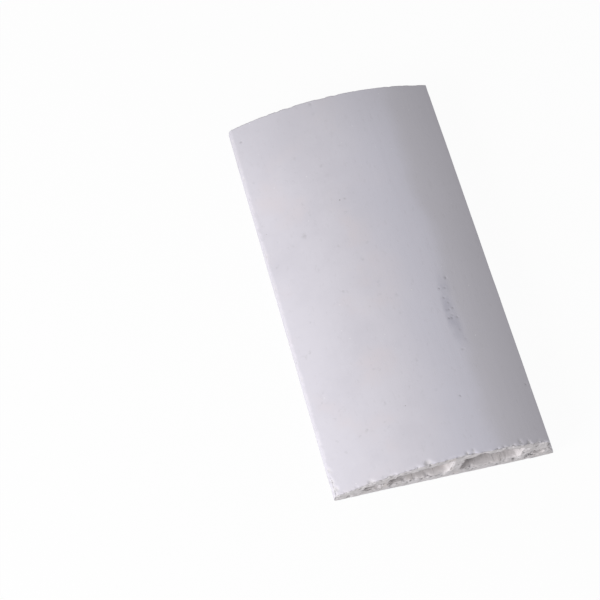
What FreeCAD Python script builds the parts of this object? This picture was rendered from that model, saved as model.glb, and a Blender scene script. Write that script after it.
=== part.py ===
"""Hollow refractory firebrick, fired from one extruded clay column.

The brick is a long slab with a flat bed, a low thin side, a higher battered side and a crowned top.
A row of four cores runs through it from end to end: small, large, large, small.

Frame, in millimetres: +Z up, the length along Y, the width along X, the thin side at -X.
The origin is the middle of the bed.
"""
import FreeCAD, Part
import os

import Sketcher
from FreeCAD import Vector

NODE = "hollow_firebrick"

# Driving sizes in millimetres
SIZES = {
    "brick_length": 384.0,
    "thin_side_height": 9.5,
    "thick_side_height": 33.0,
    "thick_side_batter": 12.0,
    "crown_rise": 21.0,
    "edge_radius": 1.5,
    "thin_margin": 27.0,
    "thick_margin": 13.0,
    "outer_web": 9.0,
    "centre_web": 12.0,
    "roof_wall": 10.0,
    "large_core_floor": 10.0,
    "large_core_width": 55.0,
    "large_core_radius": 4.0,
    "small_core_floor": 8.0,
    "small_core_width": 14.0,
    "small_core_height": 7.5,
    "small_core_radius": 3.2,
}

# Sizes that follow from them: the row of cores gives the bed its width, and the crown is the arc that
# rises by crown_rise above its chord, from the top of the thin side to the top of the thick side
WORKED_OUT = {
    "bed_width": "thin_margin + 2 * (small_core_width + outer_web + large_core_width) + centre_web + thick_margin",
    "crown_run": "bed_width - thick_side_batter",
    "crown_lift": "thick_side_height - thin_side_height",
    "crown_chord": "sqrt(crown_run ^ 2 + crown_lift ^ 2)",
    "crown_radius": "crown_chord ^ 2 / (8 * crown_rise) + crown_rise / 2",
    "core_roof_radius": "crown_radius - roof_wall",
}

# The row of cores from the thin side: each core's kind, and the wall before it
CORE_ROW = [
    ("small", "thin_margin"),
    ("large", "outer_web"),
    ("large", "centre_web"),
    ("small", "outer_web"),
]

# Point numbers on a sketch line or arc, and the sketch origin
START = 1
END = 2
CENTRE = 3
ORIGIN = -1

# How close a solid's edge must be to a sketch corner to count as drawn from it
MATCH_TOLERANCE = 0.01


def make_sheet(doc):
    """One row per size: its name in column A, its value or formula with that alias in column B."""
    sheet = doc.addObject("Spreadsheet::Sheet", "Sizes")
    cells = {alias: str(value) for alias, value in SIZES.items()}
    cells.update({alias: f"={formula}" for alias, formula in WORKED_OUT.items()})
    for row, (alias, content) in enumerate(cells.items(), start=1):
        sheet.set(f"A{row}", alias)
        sheet.setAlias(f"B{row}", alias)
        sheet.set(f"B{row}", content)
    doc.recompute()
    return sheet


def origin_plane(body, role):
    """The body's own origin plane with the given role."""
    return next(plane for plane in body.Origin.OriginFeatures if plane.Role == role)


def drive(sketch, sheet, kind, places, alias):
    """Add a dimension to the sketch and tie it to the sheet."""
    index = sketch.addConstraint(Sketcher.Constraint(kind, *places, sheet.get(alias)))
    sketch.setExpression(f"Constraints[{index}]", f"Sizes.{alias}")


def close_loop(sketch, loop):
    """Join each entity's end to the next one's start."""
    for this, following in zip(loop, loop[1:] + loop[:1]):
        sketch.addConstraint(Sketcher.Constraint("Coincident", this, END, following, START))


def add_line(sketch, start, end):
    """A straight entity of the section, between two (x, z) points."""
    return sketch.addGeometry(Part.LineSegment(Vector(*start, 0), Vector(*end, 0)), False)


def crown_centre(sheet):
    """Centre (x, z) of the crown and of the core roofs, which run parallel to it."""
    size = sheet.get
    drop = size("crown_radius") - size("crown_rise")
    chord_middle_x = -size("thick_side_batter") / 2
    chord_middle_z = (size("thin_side_height") + size("thick_side_height")) / 2
    x = chord_middle_x + drop * size("crown_lift") / size("crown_chord")
    z = chord_middle_z - drop * size("crown_run") / size("crown_chord")
    return x, z


def height_on_arc(centre, radius, x):
    """Height at x of the upper half of a circle."""
    return centre[1] + (radius**2 - (x - centre[0]) ** 2) ** 0.5


def add_arc(sketch, centre, radius, right_x, left_x):
    """An arc over the given centre, from its right end to its left end."""
    middle_x = (right_x + left_x) / 2
    points = [Vector(x, height_on_arc(centre, radius, x), 0) for x in (right_x, middle_x, left_x)]
    return sketch.addGeometry(Part.Arc(*points), False)


def draw_outline(sketch, sheet):
    """Flat bed, battered thick side, crowned top and upright thin side."""
    size = sheet.get
    half = size("bed_width") / 2
    thick_top = (half - size("thick_side_batter"), size("thick_side_height"))
    thin_top = (-half, size("thin_side_height"))
    bed = add_line(sketch, (-half, 0), (half, 0))
    thick_side = add_line(sketch, (half, 0), thick_top)
    crown = add_arc(sketch, crown_centre(sheet), size("crown_radius"), thick_top[0], thin_top[0])
    thin_side = add_line(sketch, thin_top, (-half, 0))
    loop = [bed, thick_side, crown, thin_side]
    close_loop(sketch, loop)
    sketch.addConstraint(Sketcher.Constraint("Horizontal", bed))
    sketch.addConstraint(Sketcher.Constraint("Vertical", thin_side))
    sketch.addConstraint(Sketcher.Constraint("Symmetric", bed, START, bed, END, ORIGIN, START))
    drive(sketch, sheet, "DistanceX", (bed, START, bed, END), "bed_width")
    drive(sketch, sheet, "DistanceY", (thin_side, END, thin_side, START), "thin_side_height")
    drive(sketch, sheet, "DistanceY", (thick_side, START, thick_side, END), "thick_side_height")
    drive(sketch, sheet, "DistanceX", (thick_side, END, thick_side, START), "thick_side_batter")
    drive(sketch, sheet, "Radius", (crown,), "crown_radius")
    return loop


def draw_core(sketch, sheet, kind, left_x, crown):
    """A core with a level floor and upright sides.

    A large core's roof runs parallel to the crown, one roof wall below it. A small core's roof is level.
    """
    size = sheet.get
    right_x = left_x + size(f"{kind}_core_width")
    floor_z = size(f"{kind}_core_floor")
    if kind == "large":
        centre = crown_centre(sheet)
        radius = size("core_roof_radius")
        right_z = height_on_arc(centre, radius, right_x)
        left_z = height_on_arc(centre, radius, left_x)
    else:
        right_z = floor_z + size("small_core_height")
        left_z = right_z
    floor = add_line(sketch, (left_x, floor_z), (right_x, floor_z))
    right_side = add_line(sketch, (right_x, floor_z), (right_x, right_z))
    if kind == "large":
        roof = add_arc(sketch, centre, radius, right_x, left_x)
    else:
        roof = add_line(sketch, (right_x, right_z), (left_x, left_z))
    left_side = add_line(sketch, (left_x, left_z), (left_x, floor_z))
    loop = [floor, right_side, roof, left_side]
    close_loop(sketch, loop)
    sketch.addConstraint(Sketcher.Constraint("Horizontal", floor))
    sketch.addConstraint(Sketcher.Constraint("Vertical", right_side))
    sketch.addConstraint(Sketcher.Constraint("Vertical", left_side))
    drive(sketch, sheet, "DistanceY", (ORIGIN, START, floor, START), f"{kind}_core_floor")
    drive(sketch, sheet, "DistanceX", (floor, START, floor, END), f"{kind}_core_width")
    if kind == "large":
        sketch.addConstraint(Sketcher.Constraint("Coincident", roof, CENTRE, crown, CENTRE))
        drive(sketch, sheet, "Radius", (roof,), "core_roof_radius")
    else:
        sketch.addConstraint(Sketcher.Constraint("Horizontal", roof))
        drive(sketch, sheet, "DistanceY", (right_side, START, right_side, END), "small_core_height")
    return loop


def draw_section(body, sheet):
    """The die's section: the outline, and the row of cores spaced from the thin side by their walls."""
    sketch = body.newObject("Sketcher::SketchObject", "die_section")
    sketch.AttachmentSupport = [(origin_plane(body, "XZ_Plane"), "")]
    sketch.MapMode = "FlatFace"
    outline = draw_outline(sketch, sheet)
    bed, _thick_side, crown, _thin_side = outline
    cores = {"small": [], "large": []}
    reached = (bed, START)
    reached_x = -sheet.get("bed_width") / 2
    for kind, wall in CORE_ROW:
        left_x = reached_x + sheet.get(wall)
        loop = draw_core(sketch, sheet, kind, left_x, crown)
        floor = loop[0]
        drive(sketch, sheet, "DistanceX", (*reached, floor, START), wall)
        cores[kind].extend(loop)
        reached = (floor, END)
        reached_x = left_x + sheet.get(f"{kind}_core_width")
    return sketch, outline, cores


def corner_edges(shape, sketch, entities):
    """Names of the solid's lengthwise edges that stand on the start points of these sketch entities."""
    corners = [sketch.getPoint(entity, START) for entity in entities]

    def stands_on(edge, corner):
        middle = edge.CenterOfMass
        offsets = (middle.x - corner.x, middle.y, middle.z - corner.y)
        return all(abs(offset) < MATCH_TOLERANCE for offset in offsets)

    return [
        f"Edge{number}"
        for number, edge in enumerate(shape.Edges, start=1)
        if any(stands_on(edge, corner) for corner in corners)
    ]


def round_corners(body, base, name, sketch, entities, radius_alias):
    """Round the lengthwise edges drawn from the given corners of the section."""
    fillet = body.newObject("PartDesign::Fillet", name)
    fillet.Base = (base, corner_edges(base.Shape, sketch, entities))
    fillet.setExpression("Radius", f"Sizes.{radius_alias}")
    body.Document.recompute()
    return fillet


def make_brick(doc, sheet):
    """Extrude the section to both sides of its middle and round its lengthwise corners."""
    body = doc.addObject("PartDesign::Body", NODE)
    body.Label = NODE
    sketch, outline, cores = draw_section(body, sheet)
    doc.recompute()
    column = body.newObject("PartDesign::Pad", "extruded_column")
    column.Profile = sketch
    column.SideType = "Symmetric"
    column.setExpression("Length", "Sizes.brick_length")
    doc.recompute()
    feature = round_corners(body, column, "arrises", sketch, outline, "edge_radius")
    feature = round_corners(body, feature, "large_cores", sketch, cores["large"], "large_core_radius")
    feature = round_corners(body, feature, "small_cores", sketch, cores["small"], "small_core_radius")
    body.Tip = feature
    doc.recompute()
    return body


def check(doc, body):
    """Stop if any object of the document failed, or the brick isn't one sound solid."""
    for item in doc.Objects:
        if "Invalid" in item.State or "Error" in item.State:
            raise RuntimeError(f"{item.Name} failed: {item.State}")
    shape = body.Shape
    if shape.isNull() or not shape.isValid() or len(shape.Solids) != 1:
        raise RuntimeError(f"{body.Label} is not one valid solid")


def main():
    doc = FreeCAD.newDocument(NODE)
    sheet = make_sheet(doc)
    brick = make_brick(doc, sheet)
    check(doc, brick)
    os.makedirs("parts", exist_ok=True)
    brick.Shape.exportStep(f"parts/{brick.Label}.step")
    box = brick.Shape.BoundBox
    print(f"{brick.Label}: {box.XLength:.2f} x {box.YLength:.2f} x {box.ZLength:.2f} mm")
    print(f"volume {brick.Shape.Volume / 1000:.1f} cm3, faces {len(brick.Shape.Faces)}")
    centre_x, centre_z = crown_centre(sheet)
    crown_radius = sheet.get("crown_radius")
    print(f"crown: radius {crown_radius:.2f}, centre x {centre_x:.2f}, z {centre_z:.2f}")


main()
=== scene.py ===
# %% [markdown]
# A hollow firebrick, dressed.
# The brick is one piece of clay: pushed through a die, cut to length with a wire, dried and fired.
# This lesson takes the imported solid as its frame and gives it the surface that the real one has:
# a smooth fired skin with blow holes, rough cut ends, ragged core mouths and chipped arrises.

# %% The frame
import math

import bmesh
import bpy
import numpy as np
from mathutils import Matrix, Vector, kdtree
from mathutils.geometry import delaunay_2d_cdt


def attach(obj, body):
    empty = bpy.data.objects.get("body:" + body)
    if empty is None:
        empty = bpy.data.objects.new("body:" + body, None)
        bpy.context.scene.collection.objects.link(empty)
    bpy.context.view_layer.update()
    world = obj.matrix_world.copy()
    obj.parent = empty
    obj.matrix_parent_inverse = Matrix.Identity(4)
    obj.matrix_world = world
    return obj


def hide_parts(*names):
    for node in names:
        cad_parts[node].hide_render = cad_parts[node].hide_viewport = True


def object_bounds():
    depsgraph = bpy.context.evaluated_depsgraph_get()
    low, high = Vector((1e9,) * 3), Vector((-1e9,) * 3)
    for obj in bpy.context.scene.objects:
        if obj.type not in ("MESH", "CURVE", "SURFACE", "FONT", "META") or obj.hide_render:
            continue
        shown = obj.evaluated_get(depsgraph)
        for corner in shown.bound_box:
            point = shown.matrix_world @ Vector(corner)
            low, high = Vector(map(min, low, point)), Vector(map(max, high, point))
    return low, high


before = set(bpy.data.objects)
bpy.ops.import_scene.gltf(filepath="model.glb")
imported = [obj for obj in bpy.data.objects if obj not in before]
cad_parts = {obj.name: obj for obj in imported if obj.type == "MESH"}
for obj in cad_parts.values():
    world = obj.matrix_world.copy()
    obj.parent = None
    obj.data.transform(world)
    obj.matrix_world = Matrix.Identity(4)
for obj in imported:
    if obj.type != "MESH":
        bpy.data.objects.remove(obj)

MM = 0.001
SEED = 7
NODE = "hollow_firebrick"
solid_low, solid_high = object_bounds()
scene = bpy.context.scene
print("CAD box", [round(v, 4) for v in (*solid_low, *solid_high)])

# %% [markdown]
# The camera comes first, because every later choice is judged through it.
# It looks steeply down on the crown from the near left, through a long lens, with a little roll.
# The angles are named values, and the matrix is built from three directions, which is easier to
# check than Euler angles.

# %% The camera
VIEW_AZIMUTH = math.radians(27.01)
VIEW_ELEVATION = math.radians(62.54)
VIEW_ROLL = math.radians(13.43)
VIEW_DISTANCE = 1.6045
VIEW_TARGET = Vector((-0.0863, -0.0036, 0.0200))
LENS_MM = 105.58
SENSOR_MM = 36


def camera_matrix(azimuth, elevation, roll, distance, target):
    """A camera that looks along azimuth (0 is +Y) and down by elevation, turned by roll."""
    level = math.cos(elevation)
    forward = Vector((math.sin(azimuth) * level, math.cos(azimuth) * level, -math.sin(elevation)))
    right = Vector((math.cos(azimuth), -math.sin(azimuth), 0))
    up = right.cross(forward)
    turned_right = right * math.cos(roll) + up * math.sin(roll)
    turned_up = up * math.cos(roll) - right * math.sin(roll)
    turn = Matrix((turned_right, turned_up, -forward)).transposed().to_4x4()
    return Matrix.Translation(target - forward * distance) @ turn


camera = bpy.data.objects.new("camera", bpy.data.cameras.new("camera"))
camera.data.lens = LENS_MM
camera.data.sensor_width = SENSOR_MM
camera.matrix_world = camera_matrix(
    VIEW_AZIMUTH, VIEW_ELEVATION, VIEW_ROLL, VIEW_DISTANCE, VIEW_TARGET
)
scene.collection.objects.link(camera)
scene.camera = camera
print("camera at", [round(v, 3) for v in camera.location])

# %% [markdown]
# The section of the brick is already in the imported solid, so it is read from there and not drawn
# again: the rim edges of the near end are the outline and the mouths of the four cores.
# The solid is loose triangles, so a copy of it is merged first.

# %% The section, read from the solid
WELD = 0.01 * MM


def anticlockwise(outline):
    """The outline, turned round if its area comes out negative."""
    x, z = outline.T
    area = np.sum(x * np.roll(z, -1) - np.roll(x, -1) * z)
    return outline if area > 0 else outline[::-1]


def len_around(outline):
    """Length of a closed outline."""
    return float(np.linalg.norm(np.roll(outline, -1, axis=0) - outline, axis=1).sum())


def end_outlines(node, end_y):
    """The closed outlines of the end at end_y, as arrays of (x, z) corners, the longest first."""
    shell = bmesh.new()
    shell.from_mesh(node.data)
    bmesh.ops.remove_doubles(shell, verts=shell.verts, dist=WELD)

    def on_end(item):
        return all(abs(vert.co.y - end_y) < WELD for vert in item.verts)

    steps = {}
    for edge in shell.edges:
        if on_end(edge) and sum(on_end(face) for face in edge.link_faces) == 1:
            start, end = edge.verts
            steps.setdefault(start, []).append(end)
            steps.setdefault(end, []).append(start)
    outlines = []
    while steps:
        corner = next(iter(steps))
        outline = []
        while corner in steps:
            outline.append((corner.co.x, corner.co.z))
            ways = [way for way in steps.pop(corner) if way in steps]
            corner = ways[0] if ways else None
        outlines.append(np.array(outline))
    shell.free()
    return sorted((anticlockwise(outline) for outline in outlines), key=len_around, reverse=True)


outlines = end_outlines(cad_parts[NODE], solid_low.y)
print("outlines", [(len(outline), round(len_around(outline) / MM, 1)) for outline in outlines])

# %% [markdown]
# The die gave the brick a smooth crown, but the solid's large arcs are made of facets. Where two
# stretches are about as long as each other and turn only a little between them, they are such
# facets, and new points go on the circle through their three corners. A subdivision would round
# the crown too, but it would also round the arrises.

# %% Closer points on the section
ARC_TURN = math.radians(8)
FACET_RATIO = 2


def turns(outline):
    """How far the outline turns at each corner, in radians."""
    after = np.roll(outline, -1, axis=0) - outline
    before = outline - np.roll(outline, 1, axis=0)
    cross = before[:, 0] * after[:, 1] - before[:, 1] * after[:, 0]
    return np.abs(np.arctan2(cross, np.sum(before * after, axis=1)))


def circle_through(a, b, c):
    """Centre of the circle through three points."""
    system = 2 * np.array([b - a, c - a])
    return np.linalg.solve(system, np.array([b @ b - a @ a, c @ c - a @ a]))


def arc_corners(outline, i):
    """Three corners of the arc that stretch i is a facet of, or None where it is straight."""
    count = len(outline)
    before, start, end, beyond = (outline[(i + k) % count] for k in (-1, 0, 1, 2))
    turn = turns(outline)
    round_start = ((before, start, end), turn[i])
    round_end = ((start, end, beyond), turn[(i + 1) % count])
    for corners, corner_turn in (round_start, round_end):
        lengths = [np.linalg.norm(b - a) for a, b in zip(corners, corners[1:])]
        if corner_turn < ARC_TURN and max(lengths) < FACET_RATIO * min(lengths):
            return corners
    return None


def resample(outline, spacing_at):
    """Closer points along the outline: on the circle where it is an arc, else on the straight line."""
    points = []
    for i, start in enumerate(outline):
        end = outline[(i + 1) % len(outline)]
        pieces = max(1, round(float(np.linalg.norm(end - start)) / spacing_at(start, end)))
        stretch = start + np.arange(pieces)[:, None] / pieces * (end - start)
        corners = arc_corners(outline, i)
        if corners and pieces > 1:
            centre = circle_through(*corners)
            spokes = stretch - centre
            radius = np.linalg.norm(start - centre)
            stretch = centre + radius * spokes / np.linalg.norm(spokes, axis=1, keepdims=True)
        points.extend(stretch)
    return np.array(points)


arris_corners = outlines[0][turns(outlines[0]) > ARC_TURN]
print("corners on the rounded arrises", len(arris_corners))

# %% [markdown]
# Relief needs a fine, even mesh. A voxel remesh of the whole brick would spend most of its triangles
# inside the cores, so the mesh is laid out. The walls are rings of the section at stations
# along the length, close together near the ends. The hidden bed gets few points.

# %% Rings and stations
SKIN_SPACING = 1.3 * MM
BED_SPACING = 12 * MM
CORE_SPACING = 1.6 * MM
END_STEP = 0.7 * MM
SKIN_STEP = 1.4 * MM
CORE_STEP = 14 * MM
STEP_GROWTH = 1.2


def outer_spacing(start, end):
    """The bed is hidden, so its points are far apart."""
    on_bed = max(start[1], end[1]) < solid_low.z + WELD
    return BED_SPACING if on_bed else SKIN_SPACING


def core_spacing(_start, _end):
    """Even spacing round a core."""
    return CORE_SPACING


def graded(low, high, fine, coarse, growth):
    """Stations from low to high, fine at both ends and coarse in the middle."""
    half = (high - low) / 2
    reach = [0.0]
    step = fine
    while reach[-1] < half:
        reach.append(reach[-1] + step)
        step = min(step * growth, coarse)
    reach = np.array(reach) * half / reach[-1]
    return np.concatenate([low + reach, high - reach[-2::-1]])


rings = [resample(outlines[0], outer_spacing)]
rings += [resample(outline, core_spacing) for outline in outlines[1:]]
skin_stations = graded(solid_low.y, solid_high.y, END_STEP, SKIN_STEP, STEP_GROWTH)
core_stations = graded(solid_low.y, solid_high.y, END_STEP, CORE_STEP, STEP_GROWTH)
print("rings", [len(ring) for ring in rings])
print("stations", len(skin_stations), "on the skin,", len(core_stations), "in the cores")

# %% [markdown]
# An end is flat clay with four holes in it. Filling it as one polygon would leave long thin triangles,
# which can't carry pits, so points are scattered over the clay. They lie on a grid and are each moved
# a little, because an even grid would show through the relief.

# %% The points of an end
CAP_SPACING = 1.05 * MM
CAP_JITTER = 0.28
RIM_CLEARANCE = 0.62 * CAP_SPACING


def inside(points, outline):
    """Which of the points lie inside the closed outline."""
    x, z = points.T
    result = np.zeros(len(points), bool)
    for (x0, z0), (x1, z1) in zip(outline, np.roll(outline, -1, axis=0)):
        if z0 != z1:
            crosses = (z0 > z) != (z1 > z)
            result ^= crosses & (x < x0 + (z - z0) * (x1 - x0) / (z1 - z0))
    return result


def nearest_gap(points, targets):
    """Distance from each point to the nearest target, in the plane of the section."""
    tree = kdtree.KDTree(len(targets))
    for i, (x, z) in enumerate(targets):
        tree.insert((x, 0, z), i)
    tree.balance()
    return np.array([tree.find((x, 0, z))[2] for x, z in points])


def cap_points():
    """Jittered points inside the clay of an end, clear of its rims."""
    rng = np.random.default_rng(SEED)
    outer = rings[0]
    spans = zip(outer.min(axis=0), outer.max(axis=0))
    grid = np.meshgrid(*(np.arange(low, high, CAP_SPACING) for low, high in spans))
    points = np.stack(grid, axis=-1).reshape(-1, 2)
    points = points + rng.uniform(-CAP_JITTER, CAP_JITTER, points.shape) * CAP_SPACING
    in_clay = inside(points, outer)
    for mouth in rings[1:]:
        in_clay &= ~inside(points, mouth)
    points = points[in_clay]
    return points[nearest_gap(points, np.concatenate(rings)) > RIM_CLEARANCE]


inner = cap_points()
print("each end has", len(inner), "points inside its rims")

# %% [markdown]
# The points are joined to triangles together with the rims, by a Delaunay triangulation, which avoids
# thin ones. It also fills the core mouths, so the triangles in the clay are found by walking out from
# the scattered points and stopping at the rims.

# %% The triangles of an end
MERGE_GAP = 1e-9


def sides_of(triangle):
    """The three sides of a triangle, as pairs of corner numbers in no order."""
    return [frozenset(pair) for pair in zip(triangle, (*triangle[1:], triangle[0]))]


def cap_triangles(inner):
    """Triangles over the clay of an end. Their numbers count along the rings, then the inner points."""
    flat = [Vector(point) for point in np.concatenate([*rings, inner])]
    rims = []
    first = 0
    for ring in rings:
        count = len(ring)
        rims += [(first + i, first + (i + 1) % count) for i in range(count)]
        first += count
    _, _, found, sources, _, _ = delaunay_2d_cdt(flat, rims, [], 0, MERGE_GAP)
    triangles = [[sources[corner][0] for corner in triangle] for triangle in found]
    walls = {frozenset(rim) for rim in rims}
    beside = {}
    for number, triangle in enumerate(triangles):
        for side in sides_of(triangle):
            beside.setdefault(side, []).append(number)
    clay = {number for number, triangle in enumerate(triangles) if max(triangle) >= first}
    waiting = list(clay)
    while waiting:
        for side in sides_of(triangles[waiting.pop()]):
            fresh = set(beside[side]) - clay if side not in walls else set()
            clay |= fresh
            waiting += fresh
    return np.array([triangles[number] for number in sorted(clay)])


cap = cap_triangles(inner)
print("each end has", len(cap), "triangles")

# %% [markdown]
# The walls and the two caps share their rims, so that the brick is one closed mesh. The relief will ask
# how far a point is from the nearest arris, and both relief and finishes depend on whether a face is on
# a cut end or on a core wall. These are worked out here, where they are known.

# %% The walls and the caps
def wall_of(ring, stations, first):
    """Places of one ring at every station, and the quads between them, numbered from first."""
    count = len(ring)
    levels = len(stations)
    x, z = np.tile(ring, (levels, 1)).T
    y = np.repeat(stations, count)
    index = first + np.arange(levels * count).reshape(levels, count)
    following = np.roll(index, -1, axis=1)
    quads = np.stack([index[:-1], following[:-1], following[1:], index[1:]], axis=-1)
    return np.stack([x, y, z], axis=1), quads.reshape(-1, 4), index[0], index[-1]


def build_plain_brick():
    """The walls, then the two caps: places, distances to an arris, faces and each face's kind."""
    places = []
    gaps = []
    faces = []
    kinds = []
    near_rim = []
    far_rim = []
    total = 0
    for ring in rings:
        on_skin = ring is rings[0]
        stations = skin_stations if on_skin else core_stations
        wall, quads, near, far = wall_of(ring, stations, total)
        y = wall[:, 1]
        gap = np.minimum(y - solid_low.y, solid_high.y - y)
        if on_skin:
            gap = np.minimum(gap, np.tile(nearest_gap(ring, arris_corners), len(stations)))
        places.append(wall)
        gaps.append(gap)
        faces += quads.tolist()
        kinds += ["skin" if on_skin else "core_wall"] * len(quads)
        near_rim.append(near)
        far_rim.append(far)
        total += len(wall)
    inner_gap = nearest_gap(inner, np.concatenate(rings))
    for end_y, rim in ((solid_low.y, near_rim), (solid_high.y, far_rim)):
        index = np.concatenate([*rim, total + np.arange(len(inner))])
        places.append(np.stack([inner[:, 0], np.full(len(inner), end_y), inner[:, 1]], axis=1))
        gaps.append(inner_gap)
        faces += index[cap].tolist()
        kinds += ["cut_end"] * len(cap)
        total += len(inner)
    return np.concatenate(places), np.concatenate(gaps), faces, np.array(kinds)


places, gaps, faces, kinds = build_plain_brick()
print("laid out", len(places), "points", len(faces), "faces")

# %% [markdown]
# The lists become a mesh, its normals are made to point outwards, and the marks are stored on it as
# attributes, which hold a value for each point or each face. A vertex group would do for the points,
# but not for the faces.

# %% The plain brick
def mark(mesh, name, kind, domain, values):
    """Store one value for each point or face of a mesh."""
    attribute = mesh.attributes.new(name, kind, domain)
    attribute.data.foreach_set("value", values)


plain = bpy.data.meshes.new("dressed_firebrick")
plain.from_pydata(places.tolist(), [], faces)
closed = bmesh.new()
closed.from_mesh(plain)
bmesh.ops.recalc_face_normals(closed, faces=closed.faces)
print("open edges", sum(len(edge.link_faces) != 2 for edge in closed.edges))
closed.to_mesh(plain)
closed.free()
mark(plain, "arris_gap", "FLOAT", "POINT", gaps)
for kind in ("cut_end", "core_wall"):
    mark(plain, kind, "BOOLEAN", "FACE", kinds == kind)
brick = bpy.data.objects.new("dressed_firebrick", plain)
scene.collection.objects.link(brick)
print("plain brick", len(plain.vertices), "points", len(plain.polygons), "faces")

# %% [markdown]
# Finishes and relief are both node trees, built by many small steps, so a few helpers keep them
# readable. These place a node and fill its sockets, find the output to use, and give a node group
# its named inputs and outputs. Nodes could be placed by hand too, but then nobody could read the
# recipe in the script.

# %% Placing nodes
def place(tree, kind, inputs=None, **options):
    """Add a node, set its options, then fill or link its sockets by name or number."""
    node = tree.nodes.new(kind)
    for name, value in options.items():
        setattr(node, name, value)
    for name, value in (inputs or {}).items():
        if isinstance(name, int):
            socket = node.inputs[name]
        else:
            socket = next(item for item in node.inputs if item.name == name and item.enabled)
        if isinstance(value, bpy.types.NodeSocket):
            tree.links.new(value, socket)
        else:
            socket.default_value = value
    return node


def live(sockets):
    """The first output that the node's options leave in use."""
    return next(socket for socket in sockets if socket.enabled)


def add_sockets(tree, inputs, outputs):
    """Give a node group its named inputs, with their values, and its named outputs."""
    for name, kind, value in inputs:
        socket = tree.interface.new_socket(name, in_out="INPUT", socket_type=kind)
        if value is not None:
            socket.default_value = value
    for name, kind in outputs:
        tree.interface.new_socket(name, in_out="OUTPUT", socket_type=kind)
    return tree.nodes.new("NodeGroupInput").outputs, tree.nodes.new("NodeGroupOutput").inputs


print("helpers", [helper.__name__ for helper in (place, live, add_sockets)])

# %% [markdown]
# The next ones are shorthands for the steps that come up most: arithmetic, a smooth step, and noise
# that is told the size of its lumps. Clay is measured in millimetres, so a size says more than a scale.

# %% Shorthands for steps
def calc(tree, operation, *values):
    """One step of arithmetic, as its output socket."""
    return place(tree, "ShaderNodeMath", dict(enumerate(values)), operation=operation).outputs[0]


def product(tree, *values):
    """All the values multiplied."""
    total = values[0]
    for value in values[1:]:
        total = calc(tree, "MULTIPLY", total, value)
    return total


def opposite(tree, value):
    """1 minus the value."""
    return calc(tree, "SUBTRACT", 1.0, value)


def ease(tree, value, low, high, start=0.0, end=1.0):
    """A smooth step from start, where value is low, to end, where it is high."""
    inputs = {"Value": value, "From Min": low, "From Max": high, "To Min": start, "To Max": end}
    node = place(tree, "ShaderNodeMapRange", inputs, interpolation_type="SMOOTHSTEP")
    return node.outputs["Result"]


def moved(tree, vector, offset, scale=(1, 1, 1)):
    """The vector stretched and shifted, so that two noises don't repeat each other."""
    stretched = place(tree, "ShaderNodeVectorMath", {0: vector, 1: scale}, operation="MULTIPLY")
    inputs = {0: stretched.outputs[0], 1: offset}
    return place(tree, "ShaderNodeVectorMath", inputs, operation="ADD").outputs[0]


def noise(tree, vector, size, detail=2.0, roughness=0.5):
    """Cloudy noise whose lumps are about size across."""
    scale = calc(tree, "DIVIDE", 1.0, size)
    inputs = {"Vector": vector, "Scale": scale, "Detail": detail, "Roughness": roughness}
    return place(tree, "ShaderNodeTexNoise", inputs).outputs["Fac"]


print("shorthands", [step.__name__ for step in (calc, product, opposite, ease, moved, noise)])

# %% [markdown]
# Fired clay is cloudy, because heat and air reach it unevenly, and here and there it has a small soft
# stain. All three finishes need this, each with its own tones, so it is a shader group. The group
# puts out a colour only, and every material keeps its own Principled BSDF.

# %% Cloudy clay
FLOAT = "NodeSocketFloat"
COLOR = "NodeSocketColor"
VECTOR = "NodeSocketVector"
# Sizes are shares of the cloud size, ranges are noise values between which a tone takes over
WARM_SIZE = 0.7
STAIN_SIZE = 0.18
GREY_RANGE = (0.35, 0.7)
WARM_RANGE = (0.5, 0.75)
STAIN_RANGE = (0.62, 0.8)


def blend_colors(tree, share, first, second):
    """Mix two colours by share."""
    inputs = {"Factor": share, "A": first, "B": second}
    return live(place(tree, "ShaderNodeMix", inputs, data_type="RGBA").outputs)


def make_clay_tone():
    """Clouds of three clay tones, with small soft stains that are sized by the clouds."""
    tree = bpy.data.node_groups.new("clay_tone", "ShaderNodeTree")
    given, result = add_sockets(
        tree,
        [
            ("Vector", VECTOR, None),
            ("Pale", COLOR, None),
            ("Grey", COLOR, None),
            ("Warm", COLOR, None),
            ("Stain", COLOR, None),
            ("Cloud Size", FLOAT, 50 * MM),
        ],
        [("Color", COLOR)],
    )
    where = given["Vector"]
    cloud_size = given["Cloud Size"]
    broad = noise(tree, where, cloud_size, detail=5.0, roughness=0.66)
    toned = blend_colors(tree, ease(tree, broad, *GREY_RANGE), given["Pale"], given["Grey"])
    apart = moved(tree, where, (0.31, 0.17, 0.53))
    warm = noise(tree, apart, product(tree, cloud_size, WARM_SIZE), detail=3.0)
    toned = blend_colors(tree, ease(tree, warm, *WARM_RANGE), toned, given["Warm"])
    stains = noise(tree, where, product(tree, cloud_size, STAIN_SIZE), detail=3.0, roughness=0.6)
    toned = blend_colors(tree, ease(tree, stains, *STAIN_RANGE), toned, given["Stain"])
    tree.links.new(toned, result["Color"])
    return tree


clay_tone = make_clay_tone()
print("effect", clay_tone.name, len(clay_tone.nodes), "nodes")

# %% [markdown]
# Specks of iron and of grog, which is crushed fired clay, lie in all of the clay, so they are a shared
# effect too. A noise would give clouds, but a Voronoi pattern gives each of its cells one round speck,
# and a cell keeps it only if its own draw is low enough.

# %% Specks
SMALLEST_SPECK = 0.4


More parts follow.
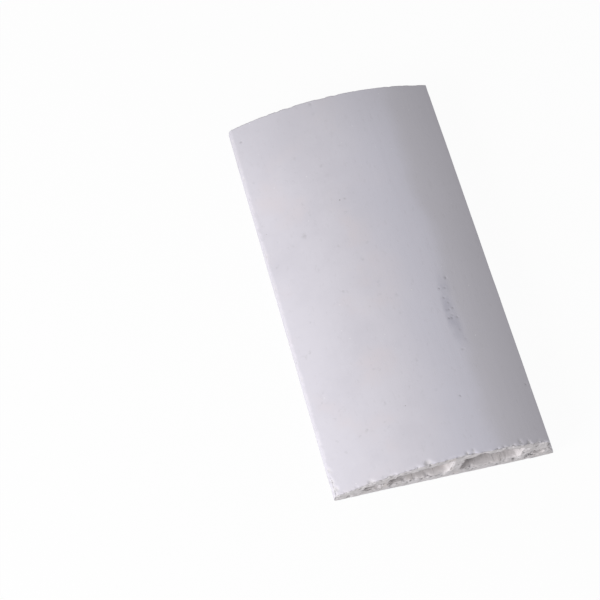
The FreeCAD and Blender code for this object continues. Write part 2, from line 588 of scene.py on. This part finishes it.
def make_clay_specks():
    """Sparse specks as a mask."""
    tree = bpy.data.node_groups.new("clay_specks", "ShaderNodeTree")
    given, result = add_sockets(
        tree,
        [
            ("Vector", VECTOR, None),
            ("Cell Size", FLOAT, 6 * MM),
            ("Share", FLOAT, 0.2),
            ("Speck Size", FLOAT, 0.2),
        ],
        [("Mask", FLOAT)],
    )
    inputs = {"Vector": given["Vector"], "Scale": calc(tree, "DIVIDE", 1.0, given["Cell Size"])}
    cells = place(tree, "ShaderNodeTexVoronoi", inputs).outputs
    draws = place(tree, "ShaderNodeSeparateColor", {0: cells["Color"]}).outputs
    chosen = calc(tree, "LESS_THAN", draws[0], given["Share"])
    reach = product(tree, given["Speck Size"], calc(tree, "ADD", draws[1], SMALLEST_SPECK))
    near = opposite(tree, ease(tree, calc(tree, "DIVIDE", cells["Distance"], reach), 0.5, 1.0))
    tree.links.new(product(tree, near, chosen), result["Mask"])
    return tree


clay_specks = make_clay_specks()
print("effect", clay_specks.name, len(clay_specks.nodes), "nodes")

# %% [markdown]
# The last shared effect is the open grain. It is noise at two sizes, a fine one for the grains and a
# coarser one, cut off high, for the pores. It is too fine for the mesh, so it becomes a bump.

# %% Open grain
PORE_RANGE = (0.6, 0.72)


def make_open_grain():
    """Height of a grainy surface with small pores, and the pores by themselves."""
    tree = bpy.data.node_groups.new("open_grain", "ShaderNodeTree")
    given, result = add_sockets(
        tree,
        [
            ("Vector", VECTOR, None),
            ("Grain Size", FLOAT, 1 * MM),
            ("Pore Size", FLOAT, 4 * MM),
            ("Pore Depth", FLOAT, 1.0),
        ],
        [("Height", FLOAT), ("Pores", FLOAT)],
    )
    grain = noise(tree, given["Vector"], given["Grain Size"], detail=5.0, roughness=0.65)
    lumps = noise(tree, given["Vector"], given["Pore Size"], roughness=0.6)
    pores = ease(tree, lumps, *PORE_RANGE)
    height = calc(tree, "SUBTRACT", grain, product(tree, pores, given["Pore Depth"]))
    tree.links.new(height, result["Height"])
    tree.links.new(pores, result["Pores"])
    return tree


open_grain = make_open_grain()
print("effect", open_grain.name, len(open_grain.nodes), "nodes")

# %% [markdown]
# Where the kiln's air reached the skin it changed its colour: potters call it flashing. A flash is a
# smooth step along one axis, and a noise makes its border wander, as a drifting flame does. A zone
# can also be darker as painted shade, as the greyer one near the thick side is.
# Blow holes, chips and the tear are real dents, so they arrive as marks on the mesh.

# %% Flashes and marks
FLASH_WANDER = 28 * MM
FLASH_LUMP = 55 * MM


def use_group(tree, group, inputs):
    """Place a shader group with its own values."""
    return place(tree, "ShaderNodeGroup", inputs, node_tree=group).outputs


def surface_mark(tree, name):
    """A mark that the relief left on the mesh."""
    return place(tree, "ShaderNodeAttribute", attribute_name=name).outputs["Fac"]


def kiln_flash_and_painted_shade(tree, where, axis, start, end):
    """A zone of changed skin, also used for painted shade: 0 before start on the axis, 1 beyond end, with
    a border that wanders.
    """
    across = place(tree, "ShaderNodeSeparateXYZ", {0: where}).outputs[axis]
    lumps = noise(tree, where, FLASH_LUMP)
    wander = calc(tree, "MULTIPLY_ADD", lumps, FLASH_WANDER, -FLASH_WANDER / 2)
    return ease(tree, calc(tree, "ADD", across, wander), start, end)


print("a flash wanders by", round(FLASH_WANDER / MM), "mm")

# %% [markdown]
# A finish lays the effects over each other: the cloudy tone first, then the flashes, then specks and
# pores, and the marks last. Each layer is a mask and a colour, so one loop mixes them all.

# %% How a finish is made
SHEEN = 0.25
SMOOTHEST = 0.78
ROUGHEST = 0.95


def make_fired_clay(name, tones, cloud_size, specks, grain, pores, bump, stretch, marks, flashes_and_painted_shade=()):
    """One finish of the fired clay.

    A flash is its axis, start, end, colour and share; a speck its colour, cell size, share of the cells
    and size in a cell; pores are their size, depth, painted shade colour and share; a mark its name,
    colour and share.
    """
    material = bpy.data.materials.new(name)
    material.use_nodes = True
    tree = material.node_tree
    shader = tree.nodes["Principled BSDF"].inputs
    shader["Specular IOR Level"].default_value = SHEEN
    where = place(tree, "ShaderNodeTexCoord").outputs["Object"]
    drawn = place(tree, "ShaderNodeMapping", {"Vector": where, "Scale": stretch}).outputs["Vector"]
    pore_size, pore_depth, pore_painted_shade, pore_share = pores
    inputs = {"Vector": drawn, "Grain Size": grain, "Pore Size": pore_size, "Pore Depth": pore_depth}
    relief = use_group(tree, open_grain, inputs)

    inputs = {"Vector": where, "Cloud Size": cloud_size, **tones}
    color = use_group(tree, clay_tone, inputs)["Color"]
    layers = []
    # Each zone mixes in its colour; the grey zone near the thick side is partly painted shade.
    for axis, start, end, flash_and_shade_color, share in flashes_and_painted_shade:
        flash_and_shade_mask = kiln_flash_and_painted_shade(tree, where, axis, start, end)
        layers.append((product(tree, flash_and_shade_mask, share), flash_and_shade_color))
    for speck_color, cell_size, share, size in specks:
        inputs = {"Vector": where, "Cell Size": cell_size, "Share": share, "Speck Size": size}
        layers.append((use_group(tree, clay_specks, inputs)["Mask"], speck_color))
    # Painted shade: the pores are darkened by colour, as their own shade would darken them.
    layers.append((product(tree, relief["Pores"], pore_share), pore_painted_shade))
    # The marks mix in their colours; the blow holes' colour is dirt and painted shade.
    for mark_name, mark_color, share in marks:
        layers.append((product(tree, surface_mark(tree, mark_name), share), mark_color))
    for mask, layer_color in layers:
        color = blend_colors(tree, mask, color, layer_color)

    roughness = ease(tree, relief["Height"], 0.2, 0.8, SMOOTHEST, ROUGHEST)
    inputs = {"Strength": bump, "Distance": grain, "Height": relief["Height"]}
    dents = place(tree, "ShaderNodeBump", inputs).outputs["Normal"]
    tree.links.new(color, shader["Base Color"])
    tree.links.new(roughness, shader["Roughness"])
    tree.links.new(dents, shader["Normal"])
    return material


print("a finish reads", [group.name for group in (clay_tone, clay_specks, open_grain)])

# %% [markdown]
# Three finishes come from one clay. The skin was pressed smooth by the die and is a pale lilac grey.
# The kiln's air changed it towards the thick side: first a bluer zone, then a greyer one, which is also
# darker as painted shade that stands in for a steeper shoulder of the crown. The far end is a little
# darker too. One even colour would look like plastic.

# %% The fired skin
# Linear colours: what the clay holds, what its dents show, with dirt and painted shade in the blow holes,
# and its flashes, the grey one partly painted shade
IRON = (0.3, 0.28, 0.28, 1)
GROG = (0.76, 0.75, 0.78, 1)
FRESH_CLAY = (0.64, 0.618, 0.64, 1)
# Dirt and painted shade: the blow holes are darkened by colour on top of the shade of their dents.
HOLE_DIRT_AND_PAINTED_SHADE = (0.25, 0.235, 0.245, 1)
TEAR_SHADE = (0.42, 0.415, 0.49, 1)
BLUE_ZONE = (0.63, 0.618, 0.695, 1)
# Painted shade: the grey zone is darker than the clay to stand in for a steeper crown shoulder, besides
# its greyer tone.
GREY_FLASH_AND_PAINTED_SHADE = (0.575, 0.557, 0.606, 1)
FAR_END = (0.55, 0.535, 0.585, 1)

fired_skin = make_fired_clay(
    "fired_skin",
    tones={
        "Pale": (0.642, 0.621, 0.678, 1),
        "Grey": (0.603, 0.583, 0.64, 1),
        "Warm": (0.645, 0.608, 0.652, 1),
        "Stain": (0.52, 0.505, 0.545, 1),
    },
    cloud_size=60 * MM,
    specks=[(IRON, 14 * MM, 0.12, 0.05), (GROG, 5 * MM, 0.08, 0.1)],
    grain=0.9 * MM,
    # The pores' colour is painted shade.
    pores=(3.5 * MM, 0.4, (0.45, 0.43, 0.46, 1), 0.12),
    bump=0.1,
    stretch=(1, 0.5, 1),
    marks=[("chip", FRESH_CLAY, 0.8), ("tear", TEAR_SHADE, 0.55), ("blow_hole", HOLE_DIRT_AND_PAINTED_SHADE, 0.5)],
    flashes_and_painted_shade=[
        ("X", -35 * MM, 25 * MM, BLUE_ZONE, 0.8),
        # The grey zone is partly painted shade.
        ("X", 36 * MM, 56 * MM, GREY_FLASH_AND_PAINTED_SHADE, 0.9),
        ("Y", 105 * MM, 200 * MM, FAR_END, 0.55),
    ],
)
print("finish", fired_skin.name, len(fired_skin.node_tree.nodes), "nodes")

# %% [markdown]
# The ends were torn by the cutting wire. They are rougher and a little warmer than the skin, and their
# clouds are small, because the wire laid the mixed clay open.

# %% The cut ends
cut_end = make_fired_clay(
    "cut_end",
    tones={
        "Pale": (0.69, 0.662, 0.678, 1),
        "Grey": (0.58, 0.553, 0.563, 1),
        "Warm": (0.63, 0.59, 0.585, 1),
        "Stain": (0.55, 0.525, 0.53, 1),
    },
    cloud_size=12 * MM,
    specks=[(IRON, 4 * MM, 0.15, 0.14), (GROG, 3 * MM, 0.2, 0.2)],
    grain=0.8 * MM,
    # The pores' colour is painted shade.
    pores=(2.6 * MM, 1.0, (0.36, 0.34, 0.345, 1), 0.45),
    bump=0.35,
    stretch=(1, 1, 1),
    marks=[("chip", FRESH_CLAY, 0.6), ("blow_hole", HOLE_DIRT_AND_PAINTED_SHADE, 0.8)],
)
print("finish", cut_end.name, len(cut_end.node_tree.nodes), "nodes")

# %% [markdown]
# The core walls were dragged by the cores of the die, so their grain runs along the length. A stretch
# of the grain's coordinates does that, with no second pattern. Their tones are lighter than those of
# the ends, as painted light that brightens the shade inside the cores.

# %% The core walls
core_wall = make_fired_clay(
    "core_wall",
    # Painted light: these tones are lighter than the ends' to brighten the shade inside the cores.
    tones={
        "Pale": (0.78, 0.745, 0.757, 1),
        "Grey": (0.7, 0.667, 0.674, 1),
        "Warm": (0.72, 0.677, 0.672, 1),
        "Stain": (0.66, 0.628, 0.63, 1),
    },
    cloud_size=30 * MM,
    specks=[(IRON, 7 * MM, 0.14, 0.12)],
    grain=0.9 * MM,
    # The pores' colour is painted shade.
    pores=(2.5 * MM, 0.8, (0.34, 0.32, 0.32, 1), 0.4),
    bump=0.35,
    stretch=(1, 0.06, 1),
    marks=[("chip", FRESH_CLAY, 0.6), ("blow_hole", HOLE_DIRT_AND_PAINTED_SHADE, 0.7)],
)
print("finish", core_wall.name, len(core_wall.node_tree.nodes), "nodes")

# %% [markdown]
# The relief is real geometry, made by one Geometry Nodes tree that works on the whole surface.
# Everything goes inwards, so the dressed brick never leaves the solid's box. Each kind of wear is a
# function that adds its nodes to the tree and puts out a depth. The depths are added up at the end.
#
# The first kind is broken arrises. They break when bricks knock together: small nibbles everywhere,
# and here and there a larger chip. A chip is a bevel whose width comes from a noise, so its depth falls
# off in a straight line from the arris to a crisp border. The two faces of an arris have to move the
# same way, or they would cut through each other, so the direction is the surface normal blurred over a
# few millimetres. The near end took most of the knocks, and the arrises of the bed hardly any.

# %% Broken arrises
BLUR_STEPS = 10
KNOCKED_REACH = 45 * MM
BED_SHELTER = 7 * MM
BED_WEAR = 0.15
CHIP_LUMP = 11 * MM
CHIP_RANGE = (0.45, 0.7)
CHIP_SLOPE = 0.5
CHIP_MARK_DEPTHS = (0.1 * MM, 0.7 * MM)
RUBBLE_LUMP = 2.6 * MM
NIBBLE_LUMP = 4 * MM
NIBBLE_RANGE = (0.34, 0.72)
NIBBLE_SLOPE = 0.7


def blurred_normal(tree):
    """The outward direction, turned smoothly round every arris."""
    normal = place(tree, "GeometryNodeInputNormal").outputs[0]
    inputs = {"Value": normal, "Iterations": BLUR_STEPS}
    blur = place(tree, "GeometryNodeBlurAttribute", inputs, data_type="FLOAT_VECTOR")
    inputs = {0: live(blur.outputs)}
    return place(tree, "ShaderNodeVectorMath", inputs, operation="NORMALIZE").outputs[0]


def bevel(tree, gap, share, width, slope):
    """Depth of bevels along the arrises: their width is a share of the full one."""
    reach = product(tree, share, width)
    over = calc(tree, "MAXIMUM", calc(tree, "SUBTRACT", reach, gap), 0.0)
    return product(tree, over, slope)


def broken_arrises(tree, position, gap, chip_width, nibble_width, far_wear):
    """Depth of chips and nibbles together, and the chips as a mask."""
    spread = place(tree, "ShaderNodeSeparateXYZ", {0: position}).outputs
    knocks = ease(tree, spread["Y"], solid_low.y, solid_low.y + KNOCKED_REACH, 1.0, far_wear)
    shelter = ease(tree, spread["Z"], 0.0, BED_SHELTER, BED_WEAR, 1.0)
    wear = product(tree, knocks, shelter)
    broad = noise(tree, moved(tree, position, (0.5, 0.2, 0.3)), CHIP_LUMP, detail=3.0)
    share = ease(tree, broad, *CHIP_RANGE)
    chip = bevel(tree, gap, share, product(tree, chip_width, wear), CHIP_SLOPE)
    rubble = noise(tree, moved(tree, position, (0.1, 0.5, 0.3)), RUBBLE_LUMP)
    chip = product(tree, chip, calc(tree, "ADD", rubble, 0.5))
    apart = moved(tree, position, (0.4, 0.6, 0.1))
    fine = noise(tree, apart, NIBBLE_LUMP, detail=3.0, roughness=0.65)
    share = ease(tree, fine, *NIBBLE_RANGE)
    nibble = bevel(tree, gap, share, product(tree, nibble_width, wear), NIBBLE_SLOPE)
    return calc(tree, "MAXIMUM", chip, nibble), ease(tree, chip, *CHIP_MARK_DEPTHS)


print("knocked part", round(KNOCKED_REACH / MM), "of", round((solid_high.y - solid_low.y) / MM), "mm")

# %% [markdown]
# Blow holes are where air in the clay burst at the surface. They are dimples round scattered points: few
# on the pressed skin, many on the torn ends, and close together in the tear. Each point draws a radius,
# and each place on the surface asks its nearest point how far away and how wide it is. Cutting the
# holes with booleans would be slow and would leave slivers.

# %% Blow holes
SKIN_HOLE_SPREAD = 0.25
RAGGED_LUMP = 2.5 * MM


def blow_holes(tree, surface, density, small, large, on_cut, seed):
    """Dimples: 1 in the middle of one and 0 outside, and the nearest one's radius."""
    inputs = {"Mesh": surface, "Density": density, "Seed": seed}
    points = place(tree, "GeometryNodeDistributePointsOnFaces", inputs).outputs["Points"]
    draw = live(place(tree, "FunctionNodeRandomValue", {"Seed": seed}).outputs)
    share = calc(tree, "MULTIPLY_ADD", on_cut, 1 - SKIN_HOLE_SPREAD, SKIN_HOLE_SPREAD)
    spread = product(tree, calc(tree, "SUBTRACT", large, small), share)
    radius = calc(tree, "MULTIPLY_ADD", calc(tree, "POWER", draw, 2.0), spread, small)
    position = place(tree, "GeometryNodeInputPosition").outputs[0]
    inputs = {"Geometry": points, "Sample Position": position}
    nearest = place(tree, "GeometryNodeSampleNearest", inputs).outputs["Index"]

    def at_nearest(kind, value):
        inputs = {"Geometry": points, "Value": value, "Index": nearest}
        return live(place(tree, "GeometryNodeSampleIndex", inputs, data_type=kind).outputs)

    centre = at_nearest("FLOAT_VECTOR", position)
    size = at_nearest("FLOAT", radius)
    inputs = {0: position, 1: centre}
    away = place(tree, "ShaderNodeVectorMath", inputs, operation="DISTANCE").outputs["Value"]
    ragged = product(tree, away, calc(tree, "ADD", noise(tree, position, RAGGED_LUMP), 0.5))
    return opposite(tree, ease(tree, calc(tree, "DIVIDE", ragged, size), 0.2, 1.0)), size


print("radii on the skin spread over", SKIN_HOLE_SPREAD, "of the range on the cut ends")

# %% [markdown]
# One long tear lies on the crown near the thick side, where the clay dragged on the die: a bowed band,
# a little darker, streaky and with small holes, strongest in the middle. It is placed by its middle, its
# length, its width and its bow, and a noise moves its border.

# %% The tear
TEAR_X = 39 * MM
TEAR_Y = -51 * MM
TEAR_LENGTH = 92 * MM
TEAR_WIDTH = 17 * MM
TEAR_BOW = 6 * MM
TEAR_WANDER = 6 * MM
TEAR_LUMP = 12 * MM
CROWN_FLOOR = 35 * MM


def die_tear(tree, position, on_core):
    """How strongly the tear marks each place, from 0 to 1."""
    spread = place(tree, "ShaderNodeSeparateXYZ", {0: position}).outputs
    along = calc(tree, "DIVIDE", calc(tree, "SUBTRACT", spread["Y"], TEAR_Y), TEAR_LENGTH / 2)
    middle = calc(tree, "MULTIPLY_ADD", product(tree, along, along), TEAR_BOW, TEAR_X)
    lumps = noise(tree, position, TEAR_LUMP)
    wander = calc(tree, "MULTIPLY_ADD", lumps, TEAR_WANDER, -TEAR_WANDER / 2)
    across = calc(tree, "SUBTRACT", calc(tree, "ADD", spread["X"], wander), middle)
    aside = calc(tree, "ABSOLUTE", across)
    band = opposite(tree, ease(tree, aside, 0.1 * TEAR_WIDTH, 0.5 * TEAR_WIDTH))
    run = opposite(tree, ease(tree, calc(tree, "ABSOLUTE", along), 0.3, 1.0))
    high = calc(tree, "GREATER_THAN", spread["Z"], CROWN_FLOOR)
    return product(tree, band, run, product(tree, high, opposite(tree, on_core)))


print("tear along y", [round((TEAR_Y + side * TEAR_LENGTH / 2) / MM) for side in (-1, 1)], "mm")

# %% [markdown]
# The tree gets named inputs for what is most likely to be changed: heights, widths, numbers of holes
# to a square metre, the seed and the three finishes. Bare numbers inside the tree would work as well,
# but they couldn't be set from the modifier.

# %% What the relief tree is given
RELIEF_INPUTS = [
    ("Geometry", "NodeSocketGeometry", None),
    ("Wave Height", FLOAT, 0.0),
    ("Grain Height", FLOAT, 0.0),
    ("Drag Height", FLOAT, 0.0),
    ("Chip Width", FLOAT, 0.0),
    ("Nibble Width", FLOAT, 0.0),
    ("Far Wear", FLOAT, 1.0),
    ("Skin Holes", FLOAT, 0.0),
    ("End Holes", FLOAT, 0.0),
    ("Tear Holes", FLOAT, 0.0),
    ("Small Hole", FLOAT, 1 * MM),
    ("Large Hole", FLOAT, 1 * MM),
    ("Hole Depth", FLOAT, 0.0),
    ("Tear Depth", FLOAT, 0.0),
    ("Seed", "NodeSocketInt", SEED),
    ("Skin", "NodeSocketMaterial", None),
    ("Cut End", "NodeSocketMaterial", None),
    ("Core Wall", "NodeSocketMaterial", None),
]
print("relief inputs", len(RELIEF_INPUTS))

# %% [markdown]
# Now the whole tree. The skin waves a little, as a wet column does when it is carried; the ends are
# grainy; the core walls have drag lines. Chips, holes and the tear come on top, each with its mark.

# %% The relief tree
WAVE_LUMP = 55 * MM
TORN_LUMP = 5 * MM
DRAG_LUMP = 2.5 * MM
DRAG_STRETCH = (1, 0.03, 1)
CORE_DRAG = 3.0
STREAK_LUMP = 5 * MM
STREAK_STRETCH = (1, 0.4, 1)
STREAK_RANGE = (0.38, 0.66)
STREAK_FLOOR = 0.4


def named(tree, name, kind="FLOAT"):
    """A mark stored on the mesh, as a field."""
    node = place(tree, "GeometryNodeInputNamedAttribute", {"Name": name}, data_type=kind)
    return node.outputs["Attribute"]


def store(tree, geometry, name, value):
    """Keep a field as a mark for the finishes."""
    inputs = {"Geometry": geometry, "Name": name, "Value": value}
    options = {"data_type": "FLOAT", "domain": "POINT"}
    return place(tree, "GeometryNodeStoreNamedAttribute", inputs, **options).outputs["Geometry"]


def make_fired_relief():
    """The tree: marks and sizes in, a worn surface with its finishes out."""
    tree = bpy.data.node_groups.new("fired_relief", "GeometryNodeTree")
    given, result = add_sockets(tree, RELIEF_INPUTS, [("Geometry", "NodeSocketGeometry")])
    position = place(tree, "GeometryNodeInputPosition").outputs[0]
    on_cut = named(tree, "cut_end", "BOOLEAN")
    on_core = named(tree, "core_wall", "BOOLEAN")
    gap = named(tree, "arris_gap")

    wave = product(tree, noise(tree, position, WAVE_LUMP, detail=1.0), given["Wave Height"])
    torn = noise(tree, position, TORN_LUMP, detail=4.0, roughness=0.7)
    grain = product(tree, torn, given["Grain Height"], on_cut)
    apart = moved(tree, position, (0.2, 0.1, 0.4), DRAG_STRETCH)
    lines = noise(tree, apart, DRAG_LUMP, detail=3.0)
    drag = product(tree, lines, given["Drag Height"], calc(tree, "MULTIPLY_ADD", on_core, CORE_DRAG, 1.0))
    broken, chip = broken_arrises(
        tree, position, gap, given["Chip Width"], given["Nibble Width"], given["Far Wear"]
    )
    tear = die_tear(tree, position, on_core)
    density = calc(tree, "MULTIPLY_ADD", on_cut, given["End Holes"], given["Skin Holes"])
    density = calc(tree, "MULTIPLY_ADD", tear, given["Tear Holes"], density)
    hole, radius = blow_holes(
        tree, given["Geometry"], density, given["Small Hole"], given["Large Hole"], on_cut, given["Seed"]
    )
    pit = product(tree, hole, radius, given["Hole Depth"])
    apart = moved(tree, position, (0.3, 0.8, 0.5), STREAK_STRETCH)
    streaks = noise(tree, apart, STREAK_LUMP, detail=4.0, roughness=0.6)
    streaks = ease(tree, streaks, *STREAK_RANGE)
    tear = product(tree, tear, calc(tree, "MULTIPLY_ADD", streaks, 1 - STREAK_FLOOR, STREAK_FLOOR))

    depth = broken
    for part in (wave, grain, drag, pit, product(tree, tear, given["Tear Depth"])):
        depth = calc(tree, "ADD", depth, part)
    inputs = {0: blurred_normal(tree), "Scale": product(tree, depth, -1.0)}
    offset = place(tree, "ShaderNodeVectorMath", inputs, operation="SCALE").outputs[0]

    surface = given["Geometry"]
    for name, value in (("chip", chip), ("blow_hole", hole), ("tear", tear)):
        surface = store(tree, surface, name, value)
    surface = place(tree, "GeometryNodeSetPosition", {"Geometry": surface, "Offset": offset}).outputs[0]
    surface = place(tree, "GeometryNodeSetShadeSmooth", {"Geometry": surface}).outputs[0]
    surface = place(tree, "GeometryNodeRealizeInstances", {"Geometry": surface}).outputs[0]
    for material, chosen in (("Skin", True), ("Cut End", on_cut), ("Core Wall", on_core)):
        inputs = {"Geometry": surface, "Material": given[material], "Selection": chosen}
        surface = place(tree, "GeometryNodeSetMaterial", inputs).outputs[0]
    tree.links.new(surface, result["Geometry"])
    return tree


fired_relief = make_fired_relief()
print("relief tree", len(fired_relief.nodes), "nodes")

# %% [markdown]
# A modifier's values are set by the identifier of each socket, before the brick is first evaluated.
# The evaluated brick is then kept as a plain mesh, because that is what an export can carry.

# %% The dressed brick
def apply_tree(piece, tree, values):
    """Run a tree on a piece with these values, and keep the result as a plain mesh."""
    modifier = piece.modifiers.new(tree.name, "NODES")
    modifier.node_group = tree
    for item in tree.interface.items_tree:
        if item.item_type == "SOCKET" and item.in_out == "INPUT" and item.name in values:
            modifier[item.identifier] = values[item.name]
    shown = piece.evaluated_get(bpy.context.evaluated_depsgraph_get())
    mesh = bpy.data.meshes.new_from_object(shown)
    piece.modifiers.remove(modifier)
    piece.data = mesh
    return mesh


dressed = apply_tree(
    brick,
    fired_relief,
    {
        "Wave Height": 0.6 * MM,
        "Grain Height": 1.2 * MM,
        "Drag Height": 0.12 * MM,
        "Chip Width": 7.5 * MM,
        "Nibble Width": 4.0 * MM,
        "Far Wear": 0.27,
        "Skin Holes": 90.0,
        "End Holes": 9000.0,
        "Tear Holes": 22000.0,
        "Small Hole": 0.9 * MM,
        "Large Hole": 3.0 * MM,
        "Hole Depth": 0.5,
        "Tear Depth": 0.04 * MM,
        "Skin": fired_skin,
        "Cut End": cut_end,
        "Core Wall": core_wall,
    },
)
triangles = sum(len(face.vertices) - 2 for face in dressed.polygons)
print("dressed brick", len(dressed.vertices), "points", triangles, "triangles")
print("its finishes", [material.name for material in dressed.materials])

# %% [markdown]
# The brick rides on the part's only body and stands for the solid, which stays for collision.

# %% Into the frame
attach(brick, "root")
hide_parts(NODE)
print(brick.name, "stands for", NODE)

# %% [markdown]
# The stage is a pale floor. Its white is an emission that only the camera and mirrors see, mixed with
# a plain diffuse part, so the brick's shadow stays and no extra light falls on the brick.

# %% The floor
FLOOR_SIZE = 8.0
FLOOR_WHITE_SHARE = 0.95
FLOOR_GREY = (0.86, 0.86, 0.86, 1)
WHITE = (1, 1, 1, 1)


def make_pale_floor():
    """The floor's finish: mostly white to the camera and to mirrors, plain grey to the brick."""
    material = bpy.data.materials.new("pale_floor")
    material.use_nodes = True
    tree = material.node_tree
    tree.nodes.clear()
    rays = place(tree, "ShaderNodeLightPath").outputs
    seen = calc(tree, "MAXIMUM", rays["Is Camera Ray"], rays["Is Glossy Ray"])
    seen = calc(tree, "MAXIMUM", seen, rays["Is Transmission Ray"])
    share = product(tree, seen, FLOOR_WHITE_SHARE)
    lit = place(tree, "ShaderNodeBsdfDiffuse", {"Color": FLOOR_GREY}).outputs[0]
    white = place(tree, "ShaderNodeEmission", {"Color": WHITE, "Strength": 1.0}).outputs[0]
    mixed = place(tree, "ShaderNodeMixShader", {0: share, 1: lit, 2: white}).outputs[0]
    place(tree, "ShaderNodeOutputMaterial", {"Surface": mixed})
    return material


def make_floor():
    """A large plane under the brick."""
    half = FLOOR_SIZE / 2
    corners = [(-half, -half, 0), (half, -half, 0), (half, half, 0), (-half, half, 0)]
    mesh = bpy.data.meshes.new("floor")
    mesh.from_pydata(corners, [], [(0, 1, 2, 3)])
    mesh.materials.append(make_pale_floor())
    floor = bpy.data.objects.new("floor", mesh)
    scene.collection.objects.link(floor)
    return floor


make_floor()
print("floor", FLOOR_SIZE, "m square")

# %% [markdown]
# The light is a large soft lamp, low on the thin side and a little to the front. On a crowned surface a
# low lamp gives the long fade from the bright thin side to the shaded thick side.
# A pale sky fills the shade.

# %% The light
KEY_DIRECTION = Vector((-0.87, -0.34, 0.42))
KEY_DISTANCE = 2.2
KEY_SIZE = 1.1
KEY_POWER = 40.0
SKY_STRENGTH = 0.475


def make_key_light():
    """A square lamp that faces the brick."""
    lamp = bpy.data.lights.new("key", "AREA")
    lamp.energy = KEY_POWER
    lamp.size = KEY_SIZE
    key = bpy.data.objects.new("key", lamp)
    towards = KEY_DIRECTION.normalized()
    key.location = towards * KEY_DISTANCE
    key.rotation_euler = towards.to_track_quat("Z", "Y").to_euler()
    scene.collection.objects.link(key)
    return key


def make_sky():
    """An even pale sky."""
    world = bpy.data.worlds.new("sky")
    world.use_nodes = True
    background = world.node_tree.nodes["Background"].inputs
    background["Color"].default_value = WHITE
    background["Strength"].default_value = SKY_STRENGTH
    scene.world = world


key = make_key_light()
make_sky()
scene.view_settings.view_transform = "Standard"
print("key light at", [round(v, 2) for v in key.location], "sky", SKY_STRENGTH)
